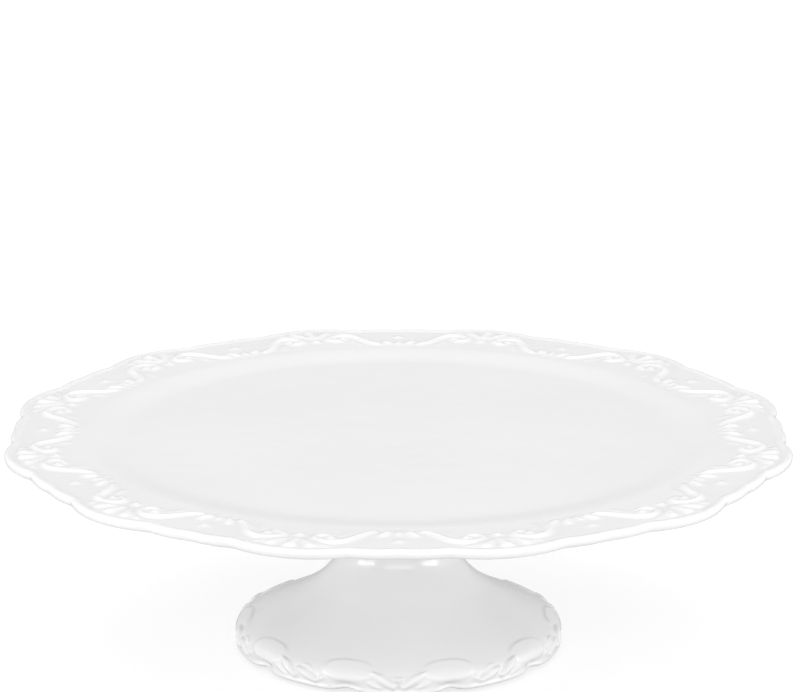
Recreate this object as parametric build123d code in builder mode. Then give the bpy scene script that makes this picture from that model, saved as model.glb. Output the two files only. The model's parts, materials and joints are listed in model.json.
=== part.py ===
"""Rotating pedestal cake stand: a scalloped plate that turns on a trumpet-shaped foot.

Frame: origin at the centre of the circle that the rubber feet stand on, +Z up,
-Y towards the front. Millimetres. Angles in the scalloped outlines are counted
from the front, towards +X.
"""
import os
from math import cos, radians, sin

from build123d import *

os.makedirs("parts", exist_ok=True)

# The plate's outline repeats twelve times round, and the foot's ten times.
SECTORS = 12
SECTOR_DEG = 360 / SECTORS
FOOT_SECTORS = 10

# Plate
PLATE_LOBE_R = 152.4          # tip of a large lobe: a 12 inch plate
PLATE_BASE_R = 148.0          # where a large lobe starts
PLATE_SCALLOP_R = 148.7       # crest of a small scallop
LOBE_HALF_DEG = 8.125         # half of a large lobe
SCALLOP_DEG = 6.875           # one small scallop, two between large lobes
WELL_Z = 84.2                 # flat top of the well
WELL_R = 104.0                # edge of the flat
RIM_R = 124.0                 # where the rim starts
RIM_Z = 85.8                  # top of the rim at its start
RIM_OUT_Z = 86.5              # top of the rim at the lip
LIP_WIDTH = 3.4
LIP_RISE = 0.6
LIP_ROUND = 0.7
LIP_BASE_Z = 83.2             # inside the rim, where the lip is built up from
PLATE_UNDER_Z = 78.0          # underside of the well
RIM_UNDER_IN_Z = 81.2         # underside of the rim at its start
RIM_UNDER_Z = 82.2            # underside of the rim at the lip
RIM_SLOPE = 0.06              # of the top where the well runs into the rim
UNDER_SLOPE = 0.04            # of the underside there
BLANK_R = 157.4               # round blank that the outline is cut from
BLANK_MARGIN = 5.0            # that the cut reaches above and below the blank
COLLAR_OUT_R = 32.0
COLLAR_IN_R = 27.0
COLLAR_Z = 72.6               # lower end of the collar
BOSS_Z = 75.5                 # ceramic face inside the collar

# Pedestal
FOOT_R = 63.2                 # tip of a foot scallop
FOOT_EDGE_Z = 1.2             # lower edge of the ceramic, on top of the rubber feet
FOOT_BAND_Z = 6.0             # top of the upright band round the foot
FOOT_NOTCH_R = 9.0            # radius of the notches between the scallops
FOOT_NOTCH_DEPTH = 1.8
FOOT_NOTCH_TOP_Z = 4.0
FLARE = [                     # outside of the flare and neck, from the foot to the top
    (61.6, 8.9),
    (56.5, 11.8),
    (49.5, 15.2),
    (41.3, 19.5),
    (33.4, 24.7),
    (27.6, 30.4),
    (24.2, 35.0),
    (22.7, 39.0),
    (22.1, 43.5),
    (22.0, 48.0),
    (22.7, 54.0),
    (25.2, 62.0),
    (28.4, 68.0),
]
HOLLOW_R = 50.0               # mouth of the hollow under the foot
HOLLOW = [                    # inside of the hollow, from the mouth up to the neck deck
    (46.0, 10.6),
    (38.0, 15.3),
    (29.5, 20.6),
    (24.0, 25.8),
    (19.6, 31.8),
    (17.0, 37.8),
    (16.0, 44.4),
]
NECK_HOLLOW_R = 16.2
PED_RING_OUT_R = 31.5         # ring on top of the pedestal, round the bearing
PED_RING_IN_R = 26.0
PED_TOP_Z = 71.2
DECK_TOP_Z = 68.2
DECK_UNDER_Z = 52.0
SEAT_Z = 60.0                 # step between the two bores of the deck

# Bearing: 10 x 24 x 9 thrust ball bearing on a 10 mm spindle
SPINDLE_R = 5.0
BEARING_R = 12.0              # outside of the lower race
UPPER_RACE_R = 11.8
LOWER_RACE_BORE_R = 5.5
BEARING_TOP_Z = 71.7
BEARING_H = 9.0
RACE_T = 2.9
BALL_R = 4.762 / 2
BALL_COUNT = 10
BALL_RING_R = 8.5
BALL_PLAY = 0.1               # between a ball and its track, and between a ball and its cage
CAGE_T = 1.6
CAGE_IN_R = 5.4
CAGE_OUT_R = 11.6

# Neck sleeve
FLANGE_R = 20.0
FLANGE_T = 1.5
GASKET_T = 0.5
CUP_R = 14.0
POCKET_R = 12.05
TUBE_R = 11.0
TUBE_END_Z = 30.0
TUBE_CHAMFER = 0.8
BUSH_R = 7.5
BUSH_FLANGE_R = 10.5
BUSH_FLANGE_T = 1.5
BORE_GAP = 0.3                # sleeve to ceramic
RUNNING_GAP = 0.05            # spindle to bush
BUSH_GAP = 1.0                # upper bush to bearing
NUT_R = 15.2
RING_NUT_T = 5.0
RING_NUT_SLOTS = 4
RING_NUT_SLOT = 3.0
SEAL_IN_R = 15.0
SEAL_OUT_R = 18.0
SEAL_T = 1.2

# Hub
HUB_R = 24.0
HUB_T = 3.0
CUSHION_T = 0.8
HEAD_R = 8.0
HEAD_T = 1.5
SCREW_COUNT = 4
SCREW_RING_R = 18.0
SCREW_START_DEG = 45
SCREW_HEAD_DEG = 90           # countersink
SCREW_R = 1.9
SCREW_HEAD_R = 3.8
SCREW_HEAD_T = 1.9
SCREW_LEN = 7.5
SCREW_SOCKET_R = 1.4
INSERT_R = 3.0
INSERT_BORE_R = 2.0
INSERT_LEN = 4.5
FIT_GAP = 0.1                 # round pressed and screwed parts

# Lower end of the spindle
THREAD_R = 4.0
THREAD_GAP = 0.05
THREAD_END = 1.0              # thread that shows below the lock nut
SPINDLE_CHAMFER = 0.6
WASHER_R = 10.0
WASHER_T = 1.0
WASHER_GAP = 0.3              # between the thrust washer and the lower bush
SPRING_R = 8.5
SPRING_T = 0.5
SPRING_H = 1.2
LOCK_NUT_FLATS = 13.0
LOCK_NUT_T = 8.0
LOCK_NUT_COLLAR_R = 5.6
LOCK_NUT_COLLAR_T = 2.0
CAP_WALL = 1.4
CAP_ROUND = 1.0
CAP_BEAD = 0.8
CAP_BEAD_H = 2.0
CAP_BOTTOM_Z = 12.5
CAP_TOP_Z = 38.0

# Rubber feet
RUBBER_COUNT = 5
RUBBER_R = 4.0
RUBBER_RING_R = 55.5
RUBBER_START_DEG = -90        # one foot at the front

# Heights worked out from the ones above
CUSHION_Z = BOSS_Z - CUSHION_T
HUB_Z = CUSHION_Z - HUB_T
BALL_Z = BEARING_TOP_Z - BEARING_H / 2
BEARING_Z = BEARING_TOP_Z - BEARING_H
SLEEVE_Z = DECK_TOP_Z + GASKET_T
SLEEVE_TOP_Z = SLEEVE_Z + FLANGE_T
CUP_END_Z = SEAT_Z + GASKET_T
UPPER_BUSH_Z = 46.0
UPPER_BUSH_TOP_Z = BEARING_Z - BUSH_GAP
LOWER_BUSH_TOP_Z = 42.0
BUSH_FLANGE_Z = TUBE_END_Z - BUSH_FLANGE_T
WASHER_Z = BUSH_FLANGE_Z - WASHER_GAP - WASHER_T
SPRING_Z = WASHER_Z - SPRING_H
LOCK_NUT_Z = SPRING_Z - LOCK_NUT_T
SPINDLE_END_Z = LOCK_NUT_Z - THREAD_END


def polar(radius, angle_deg):
    """Point at this radius, with the angle counted from the front towards +X."""
    angle = radians(angle_deg)
    return (radius * sin(angle), -radius * cos(angle))


def save(part, name):
    """Label a finished piece and write it to its own file."""
    part.label = name
    export_step(part, f"parts/{name}.step")


def ring(inner_r, outer_r, bottom_z, top_z):
    """Plain ring or washer about the Z axis."""
    with BuildPart() as piece:
        with BuildSketch(Plane.XY.offset(bottom_z)):
            Circle(outer_r)
            Circle(inner_r, mode=Mode.SUBTRACT)
        extrude(amount=top_z - bottom_z)
    return piece.part


def plate_outline(inset):
    """Plate's scalloped outline as a face, moved in by the inset."""
    with BuildSketch() as outline:
        with BuildLine():
            for sector in range(SECTORS):
                middle = (sector + 0.5) * SECTOR_DEG
                ThreePointArc(
                    polar(PLATE_BASE_R - inset, middle - LOBE_HALF_DEG),
                    polar(PLATE_LOBE_R - inset, middle),
                    polar(PLATE_BASE_R - inset, middle + LOBE_HALF_DEG),
                )
                for step in range(2):
                    first = middle + LOBE_HALF_DEG + step * SCALLOP_DEG
                    ThreePointArc(
                        polar(PLATE_BASE_R - inset, first),
                        polar(PLATE_SCALLOP_R - inset, first + SCALLOP_DEG / 2),
                        polar(PLATE_BASE_R - inset, first + SCALLOP_DEG),
                    )
        make_face()
    return outline.sketch


PLATE_OUTER = plate_outline(0)
PLATE_INNER = plate_outline(LIP_WIDTH)


# ---------------------------------------------------------------- serving plate
with BuildPart() as serving_plate:
    with BuildSketch(Plane.XZ):
        with BuildLine():
            Line((0, WELL_Z), (WELL_R, WELL_Z))
            Spline((WELL_R, WELL_Z), (RIM_R, RIM_Z), tangents=((1, 0), (1, RIM_SLOPE)))
            Line((RIM_R, RIM_Z), (BLANK_R, RIM_OUT_Z))
            Line((BLANK_R, RIM_OUT_Z), (BLANK_R, RIM_UNDER_Z))
            Line((BLANK_R, RIM_UNDER_Z), (RIM_R, RIM_UNDER_IN_Z))
            Spline(
                (RIM_R, RIM_UNDER_IN_Z),
                (WELL_R, PLATE_UNDER_Z),
                tangents=((-1, -UNDER_SLOPE), (-1, 0)),
            )
            Line((WELL_R, PLATE_UNDER_Z), (COLLAR_OUT_R, PLATE_UNDER_Z))
            Line((COLLAR_OUT_R, PLATE_UNDER_Z), (COLLAR_OUT_R, COLLAR_Z))
            Line((COLLAR_OUT_R, COLLAR_Z), (COLLAR_IN_R, COLLAR_Z))
            Line((COLLAR_IN_R, COLLAR_Z), (COLLAR_IN_R, BOSS_Z))
            Line((COLLAR_IN_R, BOSS_Z), (0, BOSS_Z))
            Line((0, BOSS_Z), (0, WELL_Z))
        make_face()
    revolve(axis=Axis.Z)
    with BuildSketch(Plane.XY.offset(COLLAR_Z - BLANK_MARGIN)):
        add(PLATE_OUTER)
    extrude(amount=RIM_OUT_Z - COLLAR_Z + 2 * BLANK_MARGIN, mode=Mode.INTERSECT)
    with BuildSketch(Plane.XY.offset(LIP_BASE_Z)):
        add(PLATE_OUTER)
        add(PLATE_INNER, mode=Mode.SUBTRACT)
    extrude(amount=RIM_OUT_Z + LIP_RISE - LIP_BASE_Z)
    lip_top = serving_plate.faces().filter_by(Axis.Z).group_by(Axis.Z)[-1]
    fillet(lip_top.edges(), LIP_ROUND)
    with BuildSketch(Plane.XY.offset(BOSS_Z)):
        with PolarLocations(SCREW_RING_R, SCREW_COUNT, start_angle=SCREW_START_DEG):
            Circle(INSERT_R + FIT_GAP)
    extrude(amount=INSERT_LEN + FIT_GAP, mode=Mode.SUBTRACT)
save(serving_plate.part, "serving_plate")


# --------------------------------------------------------------------- pedestal
with BuildPart() as pedestal:
    with BuildSketch(Plane.XZ):
        with BuildLine():
            Line((HOLLOW_R, FOOT_EDGE_Z), (FOOT_R, FOOT_EDGE_Z))
            Line((FOOT_R, FOOT_EDGE_Z), (FOOT_R, FOOT_BAND_Z))
            Spline(
                (FOOT_R, FOOT_BAND_Z),
                *FLARE,
                (PED_RING_OUT_R, PED_TOP_Z),
            )
            Line((PED_RING_OUT_R, PED_TOP_Z), (PED_RING_IN_R, PED_TOP_Z))
            Line((PED_RING_IN_R, PED_TOP_Z), (PED_RING_IN_R, DECK_TOP_Z))
            Line((PED_RING_IN_R, DECK_TOP_Z), (CUP_R + BORE_GAP, DECK_TOP_Z))
            Line((CUP_R + BORE_GAP, DECK_TOP_Z), (CUP_R + BORE_GAP, SEAT_Z))
            Line((CUP_R + BORE_GAP, SEAT_Z), (TUBE_R + BORE_GAP, SEAT_Z))
            Line((TUBE_R + BORE_GAP, SEAT_Z), (TUBE_R + BORE_GAP, DECK_UNDER_Z))
            Line((TUBE_R + BORE_GAP, DECK_UNDER_Z), (NECK_HOLLOW_R, DECK_UNDER_Z))
            Spline(
                (NECK_HOLLOW_R, DECK_UNDER_Z),
                *reversed(HOLLOW),
                (HOLLOW_R, FOOT_EDGE_Z),
                tangents=((0, -1), (0, -1)),
            )
        make_face()
    revolve(axis=Axis.Z)
    with BuildSketch(Plane.XY.offset(FOOT_EDGE_Z)):
        notch_ring_r = FOOT_R - FOOT_NOTCH_DEPTH + FOOT_NOTCH_R
        with PolarLocations(notch_ring_r, FOOT_SECTORS):
            Circle(FOOT_NOTCH_R)
    extrude(amount=FOOT_NOTCH_TOP_Z - FOOT_EDGE_Z, mode=Mode.SUBTRACT)
save(pedestal.part, "pedestal")


# ------------------------------------------------------------------ rubber feet
with BuildPart() as rubber_feet:
    with BuildSketch():
        with PolarLocations(RUBBER_RING_R, RUBBER_COUNT, start_angle=RUBBER_START_DEG):
            Circle(RUBBER_R)
    extrude(amount=FOOT_EDGE_Z)
save(rubber_feet.part, "rubber_feet")


# -------------------------------------------------------------- neck and sleeve
with BuildPart() as neck_sleeve:
    with BuildSketch(Plane.XZ):
        with BuildLine():
            Polyline(
                (BUSH_R, TUBE_END_Z),
                (TUBE_R, TUBE_END_Z),
                (TUBE_R, CUP_END_Z),
                (CUP_R, CUP_END_Z),
                (CUP_R, SLEEVE_Z),
                (FLANGE_R, SLEEVE_Z),
                (FLANGE_R, SLEEVE_TOP_Z),
                (POCKET_R, SLEEVE_TOP_Z),
                (POCKET_R, BEARING_Z),
                (BUSH_R, BEARING_Z),
                close=True,
            )
        make_face()
    revolve(axis=Axis.Z)
    tube_end = neck_sleeve.edges().filter_by(GeomType.CIRCLE).group_by(Axis.Z)[0]
    chamfer(tube_end.sort_by(SortBy.RADIUS)[-1], TUBE_CHAMFER)
save(neck_sleeve.part, "neck_sleeve")

save(ring(CUP_R + BORE_GAP, FLANGE_R, DECK_TOP_Z, SLEEVE_Z), "upper_gasket")
save(ring(TUBE_R + BORE_GAP, NUT_R, DECK_UNDER_Z - GASKET_T, DECK_UNDER_Z), "lower_gasket")
save(ring(SEAL_IN_R, SEAL_OUT_R, SLEEVE_TOP_Z, SLEEVE_TOP_Z + SEAL_T), "dust_seal")

with BuildPart() as ring_nut:
    with BuildSketch(Plane.XY.offset(DECK_UNDER_Z - GASKET_T)):
        Circle(NUT_R)
        Circle(TUBE_R + FIT_GAP, mode=Mode.SUBTRACT)
        with PolarLocations(NUT_R, RING_NUT_SLOTS):
            Rectangle(RING_NUT_SLOT, RING_NUT_SLOT, mode=Mode.SUBTRACT)
    extrude(amount=-RING_NUT_T)
save(ring_nut.part, "ring_nut")


# ----------------------------------------------------------------------- bushes
save(ring(SPINDLE_R + RUNNING_GAP, BUSH_R, UPPER_BUSH_Z, UPPER_BUSH_TOP_Z), "upper_bush")

with BuildPart() as lower_bush:
    with BuildSketch(Plane.XY.offset(BUSH_FLANGE_Z)):
        Circle(BUSH_FLANGE_R)
    extrude(amount=TUBE_END_Z - BUSH_FLANGE_Z)
    with BuildSketch(Plane.XY.offset(TUBE_END_Z)):
        Circle(BUSH_R)
    extrude(amount=LOWER_BUSH_TOP_Z - TUBE_END_Z)
    with Locations((0, 0, BUSH_FLANGE_Z)):
        Hole(SPINDLE_R + RUNNING_GAP, LOWER_BUSH_TOP_Z)
save(lower_bush.part, "lower_bush")


# --------------------------------------------------------------- thrust bearing
with BuildPart() as ball_track:
    with BuildSketch(Plane.XZ):
        with Locations((BALL_RING_R, BALL_Z)):
            Circle(BALL_R + BALL_PLAY)
    revolve(axis=Axis.Z)

with BuildPart() as upper_race:
    with BuildSketch(Plane.XY.offset(BEARING_TOP_Z - RACE_T)):
        Circle(UPPER_RACE_R)
        Circle(SPINDLE_R + RUNNING_GAP, mode=Mode.SUBTRACT)
    extrude(amount=RACE_T)
    add(ball_track.part, mode=Mode.SUBTRACT)
save(upper_race.part, "upper_race")

with BuildPart() as lower_race:
    with BuildSketch(Plane.XY.offset(BEARING_Z)):
        Circle(BEARING_R)
        Circle(LOWER_RACE_BORE_R, mode=Mode.SUBTRACT)
    extrude(amount=RACE_T)
    add(ball_track.part, mode=Mode.SUBTRACT)
save(lower_race.part, "lower_race")

with BuildPart() as bearing_balls:
    with PolarLocations(BALL_RING_R, BALL_COUNT):
        with Locations((0, 0, BALL_Z)):
            Sphere(BALL_R)
save(bearing_balls.part, "bearing_balls")

with BuildPart() as ball_cage:
    with BuildSketch(Plane.XY.offset(BALL_Z - CAGE_T / 2)):
        Circle(CAGE_OUT_R)
        Circle(CAGE_IN_R, mode=Mode.SUBTRACT)
    extrude(amount=CAGE_T)
    with PolarLocations(BALL_RING_R, BALL_COUNT):
        with Locations((0, 0, BALL_Z)):
            Sphere(BALL_R + BALL_PLAY, mode=Mode.SUBTRACT)
save(ball_cage.part, "ball_cage")


# ---------------------------------------------------------------- hub and screws
with BuildPart() as hub_flange:
    with BuildSketch(Plane.XY.offset(HUB_Z)):
        Circle(HUB_R)
    extrude(amount=HUB_T)
    with Locations((0, 0, HUB_Z + HUB_T)):
        CounterBoreHole(SPINDLE_R, HEAD_R, HEAD_T, HUB_T)
    with Locations(Plane((0, 0, HUB_Z), z_dir=(0, 0, -1))):
        with PolarLocations(SCREW_RING_R, SCREW_COUNT, start_angle=SCREW_START_DEG):
            CounterSinkHole(SCREW_R + FIT_GAP, SCREW_HEAD_R + FIT_GAP, HUB_T, SCREW_HEAD_DEG)
save(hub_flange.part, "hub_flange")

with BuildPart() as plate_cushion:
    with BuildSketch(Plane.XY.offset(CUSHION_Z)):
        Circle(HUB_R)
        with PolarLocations(SCREW_RING_R, SCREW_COUNT, start_angle=SCREW_START_DEG):
            Circle(INSERT_R + FIT_GAP, mode=Mode.SUBTRACT)
    extrude(amount=CUSHION_T)
save(plate_cushion.part, "plate_cushion")

with BuildPart() as threaded_inserts:
    with BuildSketch(Plane.XY.offset(BOSS_Z)):
        with PolarLocations(SCREW_RING_R, SCREW_COUNT, start_angle=SCREW_START_DEG):
            Circle(INSERT_R)
            Circle(INSERT_BORE_R, mode=Mode.SUBTRACT)
    extrude(amount=INSERT_LEN)
save(threaded_inserts.part, "threaded_inserts")

with BuildPart() as flange_screws:
    with BuildSketch(Plane.XY.offset(HUB_Z)):
        with PolarLocations(SCREW_RING_R, SCREW_COUNT, start_angle=SCREW_START_DEG):
            Circle(SCREW_R)
    extrude(amount=SCREW_LEN)
    with PolarLocations(SCREW_RING_R, SCREW_COUNT, start_angle=SCREW_START_DEG):
        with Locations((0, 0, HUB_Z + SCREW_HEAD_T / 2)):
            Cone(SCREW_HEAD_R, SCREW_R, SCREW_HEAD_T)
    with BuildSketch(Plane.XY.offset(HUB_Z)):
        with PolarLocations(SCREW_RING_R, SCREW_COUNT, start_angle=SCREW_START_DEG):
            RegularPolygon(SCREW_SOCKET_R, 6)
    extrude(amount=SCREW_HEAD_T / 2, mode=Mode.SUBTRACT)
save(flange_screws.part, "flange_screws")


# ---------------------------------------------------------------------- spindle
with BuildPart() as spindle:
    with BuildSketch(Plane.XZ):
        with BuildLine():
            Polyline(
                (0, CUSHION_Z),
                (HEAD_R - FIT_GAP, CUSHION_Z),
                (HEAD_R - FIT_GAP, CUSHION_Z - HEAD_T),
                (SPINDLE_R, CUSHION_Z - HEAD_T),
                (SPINDLE_R, WASHER_Z),
                (THREAD_R, WASHER_Z),
                (THREAD_R, SPINDLE_END_Z),
                (0, SPINDLE_END_Z),
                close=True,
            )
        make_face()
    revolve(axis=Axis.Z)
    chamfer(spindle.edges().filter_by(GeomType.CIRCLE).group_by(Axis.Z)[0], SPINDLE_CHAMFER)
save(spindle.part, "spindle")

save(ring(SPINDLE_R + RUNNING_GAP, WASHER_R, WASHER_Z, WASHER_Z + WASHER_T), "thrust_washer")

with BuildPart() as disc_spring:
    with BuildSketch(Plane.XZ):
        with BuildLine():
            Polyline(
                (THREAD_R + FIT_GAP, SPRING_Z),
                (SPRING_R, WASHER_Z - SPRING_T),
                (SPRING_R, WASHER_Z),
                (THREAD_R + FIT_GAP, SPRING_Z + SPRING_T),
                close=True,
            )
        make_face()
    revolve(axis=Axis.Z)
save(disc_spring.part, "disc_spring")

with BuildPart() as lock_nut:
    with BuildSketch(Plane.XY.offset(SPRING_Z)):
        RegularPolygon(LOCK_NUT_FLATS / 2, 6, major_radius=False)
    extrude(amount=-(LOCK_NUT_T - LOCK_NUT_COLLAR_T))
    with BuildSketch(Plane.XY.offset(LOCK_NUT_Z + LOCK_NUT_COLLAR_T)):
        Circle(LOCK_NUT_COLLAR_R)
    extrude(amount=-LOCK_NUT_COLLAR_T)
    with Locations((0, 0, SPRING_Z)):
        Hole(THREAD_R + THREAD_GAP, LOCK_NUT_T)
save(lock_nut.part, "lock_nut")


# ------------------------------------------------------------------- grease cap
with BuildPart() as grease_cap:
    cap_in_r = TUBE_R + FIT_GAP
    cap_out_r = cap_in_r + CAP_WALL
    with BuildSketch(Plane.XY.offset(CAP_BOTTOM_Z)):
        Circle(cap_out_r)
    extrude(amount=CAP_TOP_Z - CAP_BOTTOM_Z)
    with BuildSketch(Plane.XY.offset(CAP_TOP_Z - CAP_BEAD_H)):
        Circle(cap_out_r + CAP_BEAD)
    extrude(amount=CAP_BEAD_H)
    with BuildSketch(Plane.XY.offset(CAP_BOTTOM_Z + CAP_WALL)):
        Circle(cap_in_r)
    extrude(amount=CAP_TOP_Z - CAP_BOTTOM_Z, mode=Mode.SUBTRACT)
    fillet(grease_cap.edges().filter_by(GeomType.CIRCLE).group_by(Axis.Z)[0], CAP_ROUND)
save(grease_cap.part, "grease_cap")
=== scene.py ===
"""Rotating pedestal cake stand in white glazed ceramic.

The plate and the pedestal are rebuilt here as fine meshes that carry the moulded
relief; every other piece is the CAD node with a material. Relief shapes are written
in millimetres, and everything that Blender gets is in metres.
"""

import json
import math

import bpy
import numpy as np
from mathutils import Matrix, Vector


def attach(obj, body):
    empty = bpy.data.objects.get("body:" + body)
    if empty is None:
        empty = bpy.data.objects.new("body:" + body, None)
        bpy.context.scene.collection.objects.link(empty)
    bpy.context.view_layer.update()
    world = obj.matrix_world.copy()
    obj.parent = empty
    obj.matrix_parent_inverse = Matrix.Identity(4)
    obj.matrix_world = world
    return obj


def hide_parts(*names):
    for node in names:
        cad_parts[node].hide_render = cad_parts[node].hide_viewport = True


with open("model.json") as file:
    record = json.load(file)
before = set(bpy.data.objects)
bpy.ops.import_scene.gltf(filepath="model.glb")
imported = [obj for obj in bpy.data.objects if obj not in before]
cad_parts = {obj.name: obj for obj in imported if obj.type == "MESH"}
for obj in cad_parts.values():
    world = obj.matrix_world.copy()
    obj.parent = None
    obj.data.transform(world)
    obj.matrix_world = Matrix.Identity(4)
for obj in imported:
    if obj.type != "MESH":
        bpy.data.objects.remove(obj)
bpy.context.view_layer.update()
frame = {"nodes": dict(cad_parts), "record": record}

MM = 0.001
BLEND_POWER = 5          # how sharply crossing reliefs keep to the higher one
SHARP_DEG = 40           # edges sharper than this are shaded as edges


# ------------------------------------------------------------------ small maths
def smoothstep(edge_a, edge_b, value):
    """0 at edge_a, 1 at edge_b, smooth between; the edges may run either way."""
    t = np.clip((value - edge_a) / (edge_b - edge_a), 0.0, 1.0)
    return t * t * (3.0 - 2.0 * t)


def smooth_line(points, steps=10):
    """Catmull-Rom curve through the points, as a dense polyline."""
    p = np.asarray(points, float)
    p = np.vstack([2 * p[0] - p[1], p, 2 * p[-1] - p[-2]])
    t = np.linspace(0, 1, steps, endpoint=False)[:, None]
    spans = []
    for a, b, c, d in zip(p[:-3], p[1:-2], p[2:-1], p[3:]):
        spans.append(
            0.5
            * (
                2 * b
                + (c - a) * t
                + (2 * a - 5 * b + 4 * c - d) * t**2
                + (3 * b - a - 3 * c + d) * t**3
            )
        )
    return np.vstack([*spans, p[-2:-1]])


def dome(distance, half_width):
    """Rounded cross-section: 1 on the centre line, 0 at the half width."""
    return np.clip(1.0 - (distance / half_width) ** 2, 0.0, None)


def stroke(x, y, points, widths, height):
    """Raised rounded line along a curve; widths are half widths along it."""
    line = smooth_line(points)
    width = np.interp(np.linspace(0, 1, len(line)), np.linspace(0, 1, len(widths)), widths)
    relief = np.zeros_like(x)
    for (ax, ay), (bx, by), wa, wb in zip(line[:-1], line[1:], width[:-1], width[1:]):
        dx, dy = bx - ax, by - ay
        t = np.clip(((x - ax) * dx + (y - ay) * dy) / (dx * dx + dy * dy), 0, 1)
        distance = np.hypot(x - ax - t * dx, y - ay - t * dy)
        relief = np.maximum(relief, dome(distance, wa + (wb - wa) * t))
    return relief * height


def bead(x, y, centre, radius, height):
    """Raised round button."""
    return dome(np.hypot(x - centre[0], y - centre[1]), radius) * height


def blend_max(layers):
    """Union of reliefs that softens where they cross, as thick glaze does."""
    total = sum(np.clip(layer, 0, None) ** BLEND_POWER for layer in layers)
    return total ** (1.0 / BLEND_POWER)


def soften(grid, passes):
    """Small blur over a grid that closes on itself along its second axis."""
    for _ in range(passes):
        grid = (np.roll(grid, 1, axis=1) + 2 * grid + np.roll(grid, -1, axis=1)) / 4
        edge = np.vstack([grid[:1], grid, grid[-1:]])
        grid = (edge[:-2] + 2 * edge[1:-1] + edge[2:]) / 4
    return grid


def front_angles(count):
    """Evenly spaced angles in degrees, counted from the front (-Y) towards +X."""
    return np.arange(count) * 360.0 / count


def ring_points(radius, height, degrees):
    """Points of one ring about Z, in millimetres."""
    angle = np.radians(degrees)
    radius = np.broadcast_to(radius, degrees.shape)
    height = np.broadcast_to(height, degrees.shape)
    return np.stack([radius * np.sin(angle), -radius * np.cos(angle), height], axis=1)


class RingMesh:
    """Closed mesh of rings about Z; point counts of neighbouring rings divide evenly."""

    def __init__(self):
        self.points, self.faces, self.values, self.slots = [], [], [], []
        self.size = 0
        self.last = None

    def add_points(self, points, value=0.0):
        """Store points with their height of relief; gives their numbers."""
        self.points.append(points)
        self.values.append(np.broadcast_to(value, (len(points),)))
        index = np.arange(self.size, self.size + len(points))
        self.size += len(points)
        return index

    def start(self, point):
        """A single point on the axis."""
        self.last = self.add_points(np.array([point], float))

    def ring(self, points, value=0.0, slot=0):
        """Add a ring and the faces from the last one to it."""
        new = self.add_points(points, value)
        old = self.last
        if old is not None:
            self.stitch(old, new, slot)
        self.last = new

    def stitch(self, a, b, slot):
        """Faces between ring a and ring b; the one with fewer points gets fans."""
        n, m = len(a), len(b)
        if n == 1:
            made = [(a[0], b[i], b[(i + 1) % m]) for i in range(m)]
        elif m == 1:
            made = [(a[i], b[0], a[(i + 1) % n]) for i in range(n)]
        elif n == m:
            made = [(a[i], b[i], b[(i + 1) % m], a[(i + 1) % n]) for i in range(n)]
        elif n > m:
            k = n // m
            made = []
            for j in range(m):
                fan = [a[(j * k + i) % n] for i in range(k + 1)]
                half = k // 2
                made += [(fan[i], b[j], fan[i + 1]) for i in range(half)]
                made.append((fan[half], b[j], b[(j + 1) % m]))
                made += [(fan[i], b[(j + 1) % m], fan[i + 1]) for i in range(half, k)]
        else:
            k = m // n
            made = []
            for j in range(n):
                fan = [b[(j * k + i) % m] for i in range(k + 1)]
                half = k // 2
                made += [(a[j], fan[i], fan[i + 1]) for i in range(half)]
                made.append((a[j], fan[half], a[(j + 1) % n]))
                made += [(a[(j + 1) % n], fan[i], fan[i + 1]) for i in range(half, k)]
        self.faces += made
        self.slots += [slot] * len(made)

    def close(self, point):
        """Finish on a single point of the axis."""
        end = self.add_points(np.array([point], float))
        self.stitch(self.last, end, 0)
        self.last = None

    def build(self, name, materials):
        """Make the Blender object; relief heights go into the attribute "raised"."""
        mesh = bpy.data.meshes.new(name)
        points = np.vstack(self.points) * MM
        faces = [tuple(int(i) for i in face) for face in self.faces]
        mesh.from_pydata(points.tolist(), [], faces)
        for material in materials:
            mesh.materials.append(material)
        mesh.polygons.foreach_set("material_index", self.slots)
        raised = mesh.attributes.new("raised", "FLOAT", "POINT")
        raised.data.foreach_set("value", np.concatenate(self.values).astype(np.float32))
        mesh.polygons.foreach_set("use_smooth", [True] * len(mesh.polygons))
        mesh.set_sharp_from_angle(angle=math.radians(SHARP_DEG))
        mesh.update()
        piece = bpy.data.objects.new(name, mesh)
        bpy.context.collection.objects.link(piece)
        return piece


# -------------------------------------------------------------------- materials
RAMP_START, RAMP_STOP = 0.3, 0.7      # span of the noise that a colour ramp covers
MIX_LOW, MIX_HIGH, MIX_RESULT = 6, 7, 2    # colour sockets of a Mix node


def material_start(name):
    """New material; gives its nodes, its links and its shader."""
    material = bpy.data.materials.new(name)
    material.use_nodes = True
    nodes, links = material.node_tree.nodes, material.node_tree.links
    return material, nodes, links, nodes["Principled BSDF"]


def noise_node(nodes, links, scale, detail=3.0, rough=0.5):
    """Noise over object coordinates; scale is per metre."""
    coords = nodes.new("ShaderNodeTexCoord")
    noise = nodes.new("ShaderNodeTexNoise")
    noise.inputs["Scale"].default_value = scale
    noise.inputs["Detail"].default_value = detail
    noise.inputs["Roughness"].default_value = rough
    links.new(coords.outputs["Object"], noise.inputs["Vector"])
    return noise


def ramp_node(nodes, links, source, low, high):
    """Colour ramp from low to high over the middle of the source's range."""
    ramp = nodes.new("ShaderNodeValToRGB")
    ramp.color_ramp.elements[0].position = RAMP_START
    ramp.color_ramp.elements[1].position = RAMP_STOP
    ramp.color_ramp.elements[0].color = (*low, 1)
    ramp.color_ramp.elements[1].color = (*high, 1)
    links.new(source, ramp.inputs["Fac"])
    return ramp


def range_node(nodes, links, source, low, high):
    """Map a 0 to 1 source onto low to high."""
    mapped = nodes.new("ShaderNodeMapRange")
    mapped.inputs["To Min"].default_value = low
    mapped.inputs["To Max"].default_value = high
    links.new(source, mapped.inputs["Value"])
    return mapped


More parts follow.
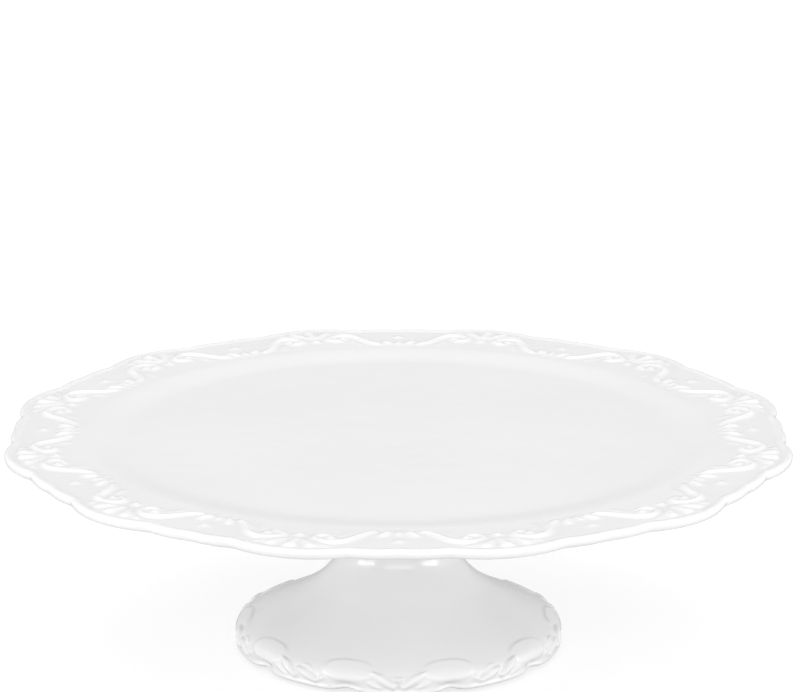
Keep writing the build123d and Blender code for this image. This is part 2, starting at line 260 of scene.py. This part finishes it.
def bump_node(nodes, links, source, distance, below=None):
    """Bump of this depth in metres, on top of another bump if one is given."""
    bump = nodes.new("ShaderNodeBump")
    bump.inputs["Distance"].default_value = distance
    links.new(source, bump.inputs["Height"])
    if below is not None:
        links.new(below.outputs["Normal"], bump.inputs["Normal"])
    return bump


def glaze_material():
    """Thick glossy white glaze, slightly wavy; lighter on raised relief and darker off it,
    partly as thinner glaze and partly as painted highlight and painted shade.
    """
    material, nodes, links, shader = material_start("white_glaze")
    cloud = noise_node(nodes, links, 14.0, 2.0)
    tint = ramp_node(
        nodes, links, cloud.outputs["Fac"], (0.86, 0.86, 0.861), (0.883, 0.883, 0.884)
    )
    # painted highlight and painted shade: colour turns lighter with the relief's height, partly
    # for thinner glaze on the raised parts
    raised = nodes.new("ShaderNodeAttribute")
    raised.attribute_name = "raised"
    thin_glaze_and_painted_highlight = nodes.new("ShaderNodeMix")
    thin_glaze_and_painted_highlight.data_type = "RGBA"
    thin_glaze_and_painted_highlight.inputs[MIX_HIGH].default_value = (0.9, 0.9, 0.901, 1)
    links.new(raised.outputs["Fac"], thin_glaze_and_painted_highlight.inputs[0])
    links.new(tint.outputs["Color"], thin_glaze_and_painted_highlight.inputs[MIX_LOW])
    links.new(thin_glaze_and_painted_highlight.outputs[MIX_RESULT], shader.inputs["Base Color"])
    gloss = noise_node(nodes, links, 60.0)
    links.new(
        range_node(nodes, links, gloss.outputs["Fac"], 0.10, 0.20).outputs["Result"],
        shader.inputs["Roughness"],
    )
    wave = noise_node(nodes, links, 85.0, 1.0)
    peel = noise_node(nodes, links, 700.0, 2.0)
    slow = bump_node(nodes, links, wave.outputs["Fac"], 0.00012)
    fine = bump_node(nodes, links, peel.outputs["Fac"], 0.00001, slow)
    links.new(fine.outputs["Normal"], shader.inputs["Normal"])
    shader.inputs["IOR"].default_value = 1.5
    shader.inputs["Coat Weight"].default_value = 0.5
    shader.inputs["Coat Roughness"].default_value = 0.04
    return material


def bisque_material():
    """Bare fired clay of the foot ring, where the glaze is wiped off."""
    material, nodes, links, shader = material_start("bare_clay")
    speck = noise_node(nodes, links, 900.0, 6.0, 0.7)
    tint = ramp_node(nodes, links, speck.outputs["Fac"], (0.66, 0.63, 0.57), (0.80, 0.78, 0.73))
    links.new(tint.outputs["Color"], shader.inputs["Base Color"])
    grain = bump_node(nodes, links, speck.outputs["Fac"], 0.00008)
    links.new(grain.outputs["Normal"], shader.inputs["Normal"])
    shader.inputs["Roughness"].default_value = 0.85
    return material


def plain_material(name, low, high, rough_low, rough_high, scale, depth):
    """Mottled solid colour with fine grain, for rubber and plastics."""
    material, nodes, links, shader = material_start(name)
    mottle = noise_node(nodes, links, scale, 4.0, 0.6)
    tint = ramp_node(nodes, links, mottle.outputs["Fac"], low, high)
    links.new(tint.outputs["Color"], shader.inputs["Base Color"])
    links.new(
        range_node(nodes, links, mottle.outputs["Fac"], rough_low, rough_high).outputs["Result"],
        shader.inputs["Roughness"],
    )
    grain = bump_node(nodes, links, mottle.outputs["Fac"], depth)
    links.new(grain.outputs["Normal"], shader.inputs["Normal"])
    return material


def turned_material(name, low, high, rough_low, rough_high, pitch):
    """Metal with fine lathe rings about the Z axis."""
    material, nodes, links, shader = material_start(name)
    coords = nodes.new("ShaderNodeTexCoord")
    rings = nodes.new("ShaderNodeTexWave")
    rings.wave_type = "RINGS"
    rings.rings_direction = "Z"
    rings.inputs["Scale"].default_value = 1.0 / (pitch * 20)
    rings.inputs["Distortion"].default_value = 0.4
    links.new(coords.outputs["Object"], rings.inputs["Vector"])
    mottle = noise_node(nodes, links, 120.0, 4.0)
    tint = ramp_node(nodes, links, mottle.outputs["Fac"], low, high)
    links.new(tint.outputs["Color"], shader.inputs["Base Color"])
    links.new(
        range_node(nodes, links, mottle.outputs["Fac"], rough_low, rough_high).outputs["Result"],
        shader.inputs["Roughness"],
    )
    groove = bump_node(nodes, links, rings.outputs["Fac"], 0.000015)
    links.new(groove.outputs["Normal"], shader.inputs["Normal"])
    shader.inputs["Metallic"].default_value = 1.0
    return material


GLAZE = glaze_material()
BISQUE = bisque_material()
NODE_MATERIALS = {
    "silicone": plain_material(
        "silicone", (0.62, 0.62, 0.60), (0.74, 0.74, 0.72), 0.45, 0.6, 300.0, 0.00002
    ),
    "black_rubber": plain_material(
        "black_rubber", (0.02, 0.02, 0.02), (0.05, 0.05, 0.05), 0.6, 0.8, 500.0, 0.00003
    ),
    "aluminium": turned_material(
        "aluminium", (0.70, 0.71, 0.73), (0.82, 0.83, 0.84), 0.22, 0.38, 0.00025
    ),
    "steel": turned_material(
        "steel", (0.52, 0.52, 0.53), (0.66, 0.66, 0.66), 0.18, 0.32, 0.0002
    ),
    "brass": turned_material(
        "brass", (0.62, 0.44, 0.18), (0.78, 0.60, 0.28), 0.22, 0.36, 0.0002
    ),
    "nylon": plain_material(
        "nylon", (0.78, 0.76, 0.69), (0.86, 0.85, 0.79), 0.4, 0.55, 200.0, 0.00001
    ),
    "cap_plastic": plain_material(
        "cap_plastic", (0.78, 0.78, 0.77), (0.85, 0.85, 0.84), 0.35, 0.5, 260.0, 0.00001
    ),
}
for subpart in frame["record"]["subparts"]:
    finish_name = subpart["material_slot"]
    if finish_name in NODE_MATERIALS:
        node = frame["nodes"][subpart["node"]]
        node.data.materials.clear()
        node.data.materials.append(NODE_MATERIALS[finish_name])


# ------------------------------------------------------------ plate: the outline
PLATE_SECTORS = 12
PLATE_COLUMNS = 1152
LOBE_TIP_R = 152.4
LOBE_EDGE_R = 148.0
SCALLOP_TIP_R = 148.7
LOBE_HALF = 8.125
SCALLOP_HALF = 3.4375
DOT_RING_R = 136.6
EDGE_BLUR = 4            # passes that soften the notches of the edge
LIP_IN_BLUR = 24         # and those of the lip's inner line
RIM_RELIEF_BLUR = 3


def arc_radius(offset_deg, half_deg, edge_r, tip_r):
    """Polar radius of a circular arc that bulges to tip_r and meets edge_r at +-half_deg."""
    chord_x = edge_r * math.sin(math.radians(half_deg))
    chord_y = edge_r * math.cos(math.radians(half_deg))
    centre = (tip_r**2 - chord_x**2 - chord_y**2) / (2 * (tip_r - chord_y))
    arc_r = tip_r - centre
    offset = np.radians(offset_deg)
    return centre * np.cos(offset) + np.sqrt(arc_r**2 - (centre * np.sin(offset)) ** 2)


def from_lobe(degrees):
    """Signed angle from the nearest large lobe of the plate, in degrees."""
    return np.mod(degrees, 360.0 / PLATE_SECTORS) - 180.0 / PLATE_SECTORS


def plate_edge(degrees):
    """Radius of the plate's scalloped edge: one large lobe, then small scallops."""
    offset = np.abs(from_lobe(degrees))
    lobe = arc_radius(np.minimum(offset, LOBE_HALF), LOBE_HALF, LOBE_EDGE_R, LOBE_TIP_R)
    small = arc_radius(
        np.clip(offset - LOBE_HALF - SCALLOP_HALF, -SCALLOP_HALF, SCALLOP_HALF),
        SCALLOP_HALF,
        LOBE_EDGE_R,
        SCALLOP_TIP_R,
    )
    return np.where(offset <= LOBE_HALF, lobe, small)


def blur_ring(values, passes):
    """Small blur of one value per column."""
    for _ in range(passes):
        values = (np.roll(values, 1) + 2 * values + np.roll(values, -1)) / 4
    return values


# ------------------------------------------------------------- plate: the relief
def lobe_relief(x, y):
    """One half of the motif on a lobe; x runs from the lobe's middle, y is the radius."""
    fan = [
        stroke(x, y, [(0, 137.4), (0, 142.0), (0, 146.6)], (0.6, 1.5, 1.9), 1.25),
        stroke(x, y, [(1.9, 138.2), (4.4, 141.6), (6.9, 145.2)], (0.6, 1.6, 1.9), 1.15),
        stroke(x, y, [(5.6, 140.6), (8.8, 142.6), (11.8, 144.6)], (0.5, 1.2, 1.4), 0.7),
        bead(x, y, (0, 133.3), 1.7, 1.1),
    ]
    scroll = [
        stroke(
            x,
            y,
            [
                (10.6, 131.9),
                (7.4, 132.9),
                (6.0, 135.6),
                (7.9, 138.3),
                (11.6, 139.8),
                (15.4, 138.9),
                (18.4, 135.6),
                (21.0, 131.4),
                (23.8, 128.0),
                (27.4, 125.6),
            ],
            (0.9, 1.3, 1.5, 1.5, 1.6, 1.7, 1.6, 1.5, 1.3, 0.8),
            1.25,
        ),
        bead(x, y, (11.6, 135.0), 2.1, 1.15),
        stroke(x, y, [(15.2, 131.6), (16.9, 128.6), (18.0, 125.6)], (0.7, 0.8, 0.5), 0.5),
    ]
    return fan + scroll


def stretch_relief(x, y):
    """One half of the cluster between two lobes; x runs from the stretch's middle."""
    return [
        bead(x, y, (0, 136.6), 2.3, 0.6),
        stroke(x, y, [(4.0, 126.6), (5.4, 128.4), (6.3, 130.4)], (1.5, 1.9, 1.3), 1.1),
        stroke(x, y, [(0, 125.8), (0, 128.6)], (1.1, 1.3), 0.9),
        bead(x, y, (2.6, 123.9), 1.0, 0.6),
    ]


def rim_relief(radius, degrees):
    """Height of the moulded relief on the plate's rim, in millimetres."""
    offset = np.abs(from_lobe(degrees))
    x_lobe = np.radians(offset) * DOT_RING_R
    x_stretch = np.radians(180.0 / PLATE_SECTORS - offset) * DOT_RING_R
    layers = []
    for side in (1, -1):
        layers += lobe_relief(side * x_lobe, radius)
        layers += stretch_relief(side * x_stretch, radius)
    return blend_max(layers)


# --------------------------------------------------------------- plate: the mesh
WELL_Z = 84.2
WELL_R = 104.0
RIM_R = 122.0
RIM_Z = 85.8
RIM_SLOPE = 0.021
RELIEF_IN_R = 120.0
LIP_WIDTH = 4.4
LIP_NOSE = 1.9
LIP_CREST_Z = 86.8
LIP_MID_Z = 85.4
LIP_LOW_Z = 83.1
LIP_RAMP = 6
UNDER_Z = 78.0
RIM_UNDER_Z = 82.0
COLLAR_OUT_R = 32.0
COLLAR_IN_R = 27.0
COLLAR_Z = 72.6
BOSS_Z = 75.5
RELIEF_ROWS = 50
LIP_STEPS = 12
# radius of a ring, and which of the plate's columns it keeps: every one, every second...
WELL_RINGS = (
    (20, 16), (60, 16), (100, 8), (104, 8), (107, 4), (110, 4), (113, 2), (116, 2), (118.5, 1),
)
UNDER_RINGS = (
    (138, 2), (128, 4), (122, 4), (116, 4), (110, 4), (104, 8), (98, 8), (70, 8), (36, 8),
)


def plate_top(radius):
    """Height of the plate's plain top: flat well, soft rise, nearly flat rim."""
    rise = smoothstep(WELL_R, RIM_R, radius)
    return WELL_Z + (RIM_Z - WELL_Z) * rise + RIM_SLOPE * np.clip(radius - RIM_R, 0, None)


def plate_under(radius):
    """Height of the plate's underside."""
    rise = smoothstep(WELL_R - 6, RIM_R + 6, radius)
    return UNDER_Z + (RIM_UNDER_Z - UNDER_Z) * rise


def build_plate():
    """Plate as one closed mesh: top, relief, lip, underside, collar and boss."""
    degrees = front_angles(PLATE_COLUMNS)
    edge = blur_ring(plate_edge(degrees), EDGE_BLUR)
    lip_in = blur_ring(edge, LIP_IN_BLUR) - LIP_WIDTH
    mesh = RingMesh()
    mesh.start((0, 0, WELL_Z))
    for radius, keep in WELL_RINGS:
        mesh.ring(ring_points(radius, plate_top(np.float64(radius)), degrees[::keep]))
    rows = np.linspace(0, 1, RELIEF_ROWS)[:, None]
    radius = RELIEF_IN_R + rows * (lip_in - RELIEF_IN_R)
    across = degrees[None, :].repeat(RELIEF_ROWS, axis=0)
    relief = soften(rim_relief(radius, across), RIM_RELIEF_BLUR)
    relief *= smoothstep(0.0, 0.04, rows) * smoothstep(1.0, 0.96, rows)
    height = plate_top(radius) + relief
    for r, z, lift in zip(radius, height, relief):
        mesh.ring(ring_points(r, z, degrees), np.clip(lift, 0, 1))
    lip_start = plate_top(lip_in)
    for t in np.linspace(0, 1, LIP_RAMP + 1)[1:-1]:
        r = lip_in + t * (edge - LIP_NOSE - lip_in)
        z = lip_start + (LIP_CREST_Z - lip_start) * smoothstep(0, 1, t)
        mesh.ring(ring_points(r, z, degrees))
    for angle in np.radians(np.linspace(90, -90, LIP_STEPS)):
        tall = LIP_CREST_Z - LIP_MID_Z if angle > 0 else LIP_MID_Z - LIP_LOW_Z
        r = edge - LIP_NOSE + LIP_NOSE * math.cos(angle)
        mesh.ring(ring_points(r, LIP_MID_Z + tall * math.sin(angle), degrees))
    mesh.ring(ring_points(edge - 4.0, LIP_LOW_Z - 0.3, degrees))
    mesh.ring(ring_points(edge - 8.0, plate_under(edge - 8.0), degrees))
    for radius, keep in UNDER_RINGS:
        mesh.ring(ring_points(radius, plate_under(np.float64(radius)), degrees[::keep]))
    coarse = degrees[::8]
    for radius, z in (
        (33.2, UNDER_Z - 0.2),
        (32.3, UNDER_Z - 0.9),
        (COLLAR_OUT_R, UNDER_Z - 1.8),
        (COLLAR_OUT_R, COLLAR_Z + 0.8),
        (COLLAR_OUT_R - 0.25, COLLAR_Z + 0.25),
        (COLLAR_OUT_R - 0.8, COLLAR_Z),
        (COLLAR_IN_R + 0.8, COLLAR_Z),
        (COLLAR_IN_R + 0.25, COLLAR_Z + 0.25),
        (COLLAR_IN_R, COLLAR_Z + 0.8),
        (COLLAR_IN_R, BOSS_Z),
    ):
        mesh.ring(ring_points(radius, z, coarse))
    mesh.close((0, 0, BOSS_Z))
    return mesh.build("serving_plate_glazed", [GLAZE])


# ------------------------------------------------------------------ the pedestal
FOOT_SECTORS = 10
FOOT_COLUMNS = 960
FOOT_EDGE_Z = 1.2
FOOT_NOTCH = 1.8
FLARE = [
    (62.6, 1.2),
    (63.1, 1.5),
    (63.2, 2.2),
    (63.2, 6.0),
    (61.6, 8.9),
    (56.5, 11.8),
    (49.5, 15.2),
    (41.3, 19.5),
    (33.4, 24.7),
    (27.6, 30.4),
    (24.2, 35.0),
    (22.7, 39.0),
    (22.1, 43.5),
    (22.0, 48.0),
    (22.7, 54.0),
    (25.2, 62.0),
    (28.4, 68.0),
    (30.9, 70.4),
]
FOOT_RELIEF_TOP = 17.0    # relief is meshed finely up to here along the profile
FOOT_MEDIUM_TOP = 23.0    # and less finely up to here
FOOT_PLAIN_STEP = 2.0
FOOT_RELIEF_BLUR = 2
FOOT_MID_R = 61.5
FOOT_ARCH = 0.9
FOOT_HALF_SECTOR = math.pi * FOOT_MID_R / FOOT_SECTORS
NOTCH_SPREAD = 4.2
ARCH_SPREAD = 4.6
FOOT_LIP = 0.45
FOOT_LIP_UP = 1.4
FOOT_LIP_SPREAD = 0.8
PAD_POWER = 2.3           # 2 would be an ellipse; more is squarer
PAD_HEIGHT = 0.62
PAD_BORDER = 0.22
PAD_HALF_X = 11.2
PAD_HALF_Y = 5.6
PAD_UP = 9.3
FOOT_RELIEF_STEP = 0.32
# bearing pocket and bores of the neck, from the top down
POCKET = [
    (26.0, 68.4),
    (25.8, 68.2),
    (14.3, 68.2),
    (14.3, 60.0),
    (11.3, 60.0),
    (11.3, 52.0),
    (16.0, 52.0),
]
HOLLOW = [
    (16.2, 52.0),
    (16.0, 44.4),
    (17.0, 37.8),
    (19.6, 31.8),
    (24.0, 25.8),
    (29.5, 20.6),
    (38.0, 15.3),
    (46.0, 10.6),
    (49.6, 6.0),
    (50.0, 2.4),
]


def foot_relief(along, up):
    """Relief on the foot, over distances along it from a leaf spray and up from its edge."""
    leaves = [
        stroke(along, up, [(-10.2, 8.6), (-6.4, 6.4), (-2.2, 3.7)], (0.6, 2.0, 1.2), 1.5),
        stroke(along, up, [(-1.4, 6.6), (2.8, 5.2), (7.3, 3.6)], (0.6, 2.0, 1.1), 1.5),
        stroke(along, up, [(0.6, 8.6), (3.0, 8.0), (5.2, 6.9)], (0.4, 0.9, 0.5), 0.6),
        stroke(along, up, [(-11.6, 5.0), (-9.2, 4.0), (-6.4, 3.0)], (0.4, 1.0, 0.5), 0.7),
        bead(along, up, (9.6, 4.9), 1.3, 1.0),
    ]
    pads = [foot_pad(along - side * FOOT_HALF_SECTOR, up) for side in (1, -1)]
    return leaves + pads


def foot_pad(along, up):
    """Low oval pad with a slightly rolled border."""
    wide = np.abs(along / PAD_HALF_X) ** PAD_POWER
    tall = np.abs((up - PAD_UP) / PAD_HALF_Y) ** PAD_POWER
    reach = (wide + tall) ** (1 / PAD_POWER)
    body = PAD_HEIGHT * smoothstep(1.06, 0.6, reach)
    border = PAD_BORDER * np.exp(-(((reach - 0.78) / 0.09) ** 2))
    return body + border


def build_pedestal():
    """Foot as one closed mesh: bore, hollow, bare ring, relief, flare and deck."""
    degrees = front_angles(FOOT_COLUMNS)
    profile = smooth_line(FLARE, 40)
    length = np.concatenate([[0], np.cumsum(np.hypot(*np.diff(profile, axis=0).T))])
    fine = np.arange(0, FOOT_RELIEF_TOP, FOOT_RELIEF_STEP)
    plain = np.arange(FOOT_RELIEF_TOP, length[-1], FOOT_PLAIN_STEP)
    rows = np.concatenate([fine, plain, [length[-1]]])
    r_row = np.interp(rows, length, profile[:, 0])
    z_row = np.interp(rows, length, profile[:, 1])
    turn = np.gradient(np.stack([r_row, z_row], axis=1), rows, axis=0)
    turn /= np.hypot(*turn.T)[:, None]
    normal_r, normal_z = turn[:, 1], -turn[:, 0]
    sector = 360.0 / FOOT_SECTORS
    from_front = 180.0 - np.abs(degrees - 180.0)
    offset = np.mod(from_front + sector / 2, sector) - sector / 2
    along = -np.radians(offset)[None, :] * FOOT_MID_R + 0 * rows[:, None]
    up = rows[:, None] + 0 * along
    relief = soften(blend_max(foot_relief(along, up)), FOOT_RELIEF_BLUR)
    relief *= smoothstep(1.2, 2.6, up)
    to_pad = FOOT_HALF_SECTOR - np.abs(along)
    notch = FOOT_NOTCH * np.exp(-((to_pad / NOTCH_SPREAD) ** 2)) * smoothstep(6.0, 2.5, up)
    arch = FOOT_ARCH * np.exp(-((to_pad / ARCH_SPREAD) ** 2)) * smoothstep(4.5, 0.0, up)
    lip = FOOT_LIP * np.exp(-(((up - FOOT_LIP_UP) / FOOT_LIP_SPREAD) ** 2))
    mesh = RingMesh()
    grid_r = r_row[:, None] + normal_r[:, None] * (relief + lip) - notch
    grid_z = z_row[:, None] + normal_z[:, None] * relief + arch
    # inner hollow first, from the deck's bore down to the foot ring
    coarse = degrees[::8]
    ring = mesh.ring
    ring(ring_points(*POCKET[0], coarse))
    first = mesh.last
    for radius, z in POCKET[1:]:
        ring(ring_points(radius, z, coarse))
    for radius, z in smooth_line(HOLLOW, 4)[1:]:
        ring(ring_points(radius, z, coarse))
    ring(ring_points(50.2, 1.5, degrees[::4]))
    ring(ring_points(50.6, 1.2, degrees[::2]), slot=1)
    ring(ring_points(grid_r[0] - 4.0, FOOT_EDGE_Z, degrees), slot=1)
    ring(ring_points(grid_r[0] - 1.2, FOOT_EDGE_Z + 0.6 * arch[0], degrees), slot=1)
    ring(ring_points(grid_r[0], grid_z[0], degrees), slot=1)
    for up_row, r, z, lift in zip(rows[1:], grid_r[1:], grid_z[1:], relief[1:]):
        if up_row <= FOOT_RELIEF_TOP:
            keep = 1
        else:
            keep = 4 if up_row < FOOT_MEDIUM_TOP else 8
        points = ring_points(r[::keep], z[::keep], degrees[::keep])
        ring(points, np.clip(lift[::keep], 0, 1))
    for radius, z in ((31.2, 70.9), (30.9, 71.2), (26.6, 71.2), (26.1, 71.0), (26.0, 70.6)):
        ring(ring_points(radius, z, coarse))
    mesh.stitch(mesh.last, first, 0)
    return mesh.build("pedestal_glazed", [GLAZE, BISQUE])


plate = build_plate()
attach(plate, "plate")
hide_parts("serving_plate")

pedestal = build_pedestal()
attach(pedestal, "pedestal")
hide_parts("pedestal")


# -------------------------------------------------------- floor, light, camera
FLOOR_HALF = 3.0


def add_floor(name, height, tone, glow):
    """Large plain floor; tone is its colour and glow its own light."""
    mesh = bpy.data.meshes.new(name)
    signs = ((-1, -1), (1, -1), (1, 1), (-1, 1))
    corners = [(x * FLOOR_HALF, y * FLOOR_HALF, height) for x, y in signs]
    mesh.from_pydata(corners, [], [(0, 1, 2, 3)])
    floor = bpy.data.objects.new(name, mesh)
    bpy.context.collection.objects.link(floor)
    material, nodes, links, shader = material_start(name)
    speck = noise_node(nodes, links, 8.0)
    tint = ramp_node(nodes, links, speck.outputs["Fac"], (tone,) * 3, (tone + 0.02,) * 3)
    links.new(tint.outputs["Color"], shader.inputs["Base Color"])
    shader.inputs["Roughness"].default_value = 0.9
    shader.inputs["Specular IOR Level"].default_value = 0.0
    shader.inputs["Emission Color"].default_value = (1, 1, 1, 1)
    shader.inputs["Emission Strength"].default_value = glow
    mesh.materials.append(material)
    return floor


def add_floors():
    """A white floor that the camera sees, and just below it one that only bounces light."""
    white = add_floor("white_floor", 0.0, 0.35, 0.72)
    white.visible_diffuse = white.visible_glossy = white.visible_shadow = False
    bounce = add_floor("bounce_floor", -0.0005, 0.62, 0.05)
    bounce.visible_camera = bounce.visible_glossy = False


def add_light(name, place, target, size, power):
    """Rectangular softbox at a place, turned to a target."""
    light = bpy.data.lights.new(name, "AREA")
    light.shape = "RECTANGLE"
    light.size, light.size_y = size
    light.energy = power
    lamp = bpy.data.objects.new(name, light)
    bpy.context.collection.objects.link(lamp)
    lamp.location = place
    aim = Vector(target) - Vector(place)
    lamp.rotation_mode = "QUATERNION"
    lamp.rotation_quaternion = aim.to_track_quat("-Z", "Y")
    lamp.visible_camera = False
    return lamp


def around(azimuth, elevation, distance):
    """Place as seen from the stand: azimuth from the front towards +X, in degrees."""
    a, e = math.radians(azimuth), math.radians(elevation)
    level = distance * math.cos(e)
    return (level * math.sin(a), -level * math.cos(a), distance * math.sin(e))


def add_world(above, below):
    """White studio tent: its strength above and below the horizon."""
    world = bpy.data.worlds.new("studio")
    bpy.context.scene.world = world
    world.use_nodes = True
    nodes, links = world.node_tree.nodes, world.node_tree.links
    coords = nodes.new("ShaderNodeTexCoord")
    split = nodes.new("ShaderNodeSeparateXYZ")
    links.new(coords.outputs["Generated"], split.inputs[0])
    height = nodes.new("ShaderNodeMapRange")
    height.interpolation_type = "SMOOTHSTEP"
    height.inputs["From Min"].default_value = -0.1
    height.inputs["From Max"].default_value = 0.1
    height.inputs["To Min"].default_value = below
    height.inputs["To Max"].default_value = above
    links.new(split.outputs["Z"], height.inputs["Value"])
    links.new(height.outputs["Result"], nodes["Background"].inputs["Strength"])
    nodes["Background"].inputs["Color"].default_value = (1, 1, 1, 1)


CAMERA_PITCH = 15.21
CAMERA_DISTANCE = 1.2883
CAMERA_HEIGHT = 0.4697
CAMERA_LENS = 157.6
FOOT_AIM = (0, 0, 0.04)


def add_camera():
    data = bpy.data.cameras.new("camera")
    data.sensor_width = 36.0
    data.lens = CAMERA_LENS
    camera = bpy.data.objects.new("camera", data)
    bpy.context.collection.objects.link(camera)
    camera.location = (0.0, -CAMERA_DISTANCE, CAMERA_HEIGHT)
    camera.rotation_euler = (math.radians(90 - CAMERA_PITCH), 0, 0)
    bpy.context.scene.camera = camera


add_floors()
add_world(0.71, 0.58)
add_light("top_softbox", (0.0, 0.3, 1.5), (0, 0, 0.08), (1.6, 1.2), 6)
add_light("front_softbox", around(0, 24, 1.6), FOOT_AIM, (1.5, 0.8), 6.5)
add_light("left_softbox", around(-64, 9, 1.5), FOOT_AIM, (0.95, 0.27), 3)
add_light("right_softbox", around(64, 9, 1.5), FOOT_AIM, (0.95, 0.27), 3)
# soft fill from both sides, kept out of the glaze's reflections
for side in (-1, 1):
    fill = add_light(f"fill_{side}", around(side * 80, 9, 1.8), FOOT_AIM, (1.4, 0.5), 6.5)
    fill.visible_glossy = False
add_camera()
bpy.context.scene.view_settings.view_transform = "Standard"
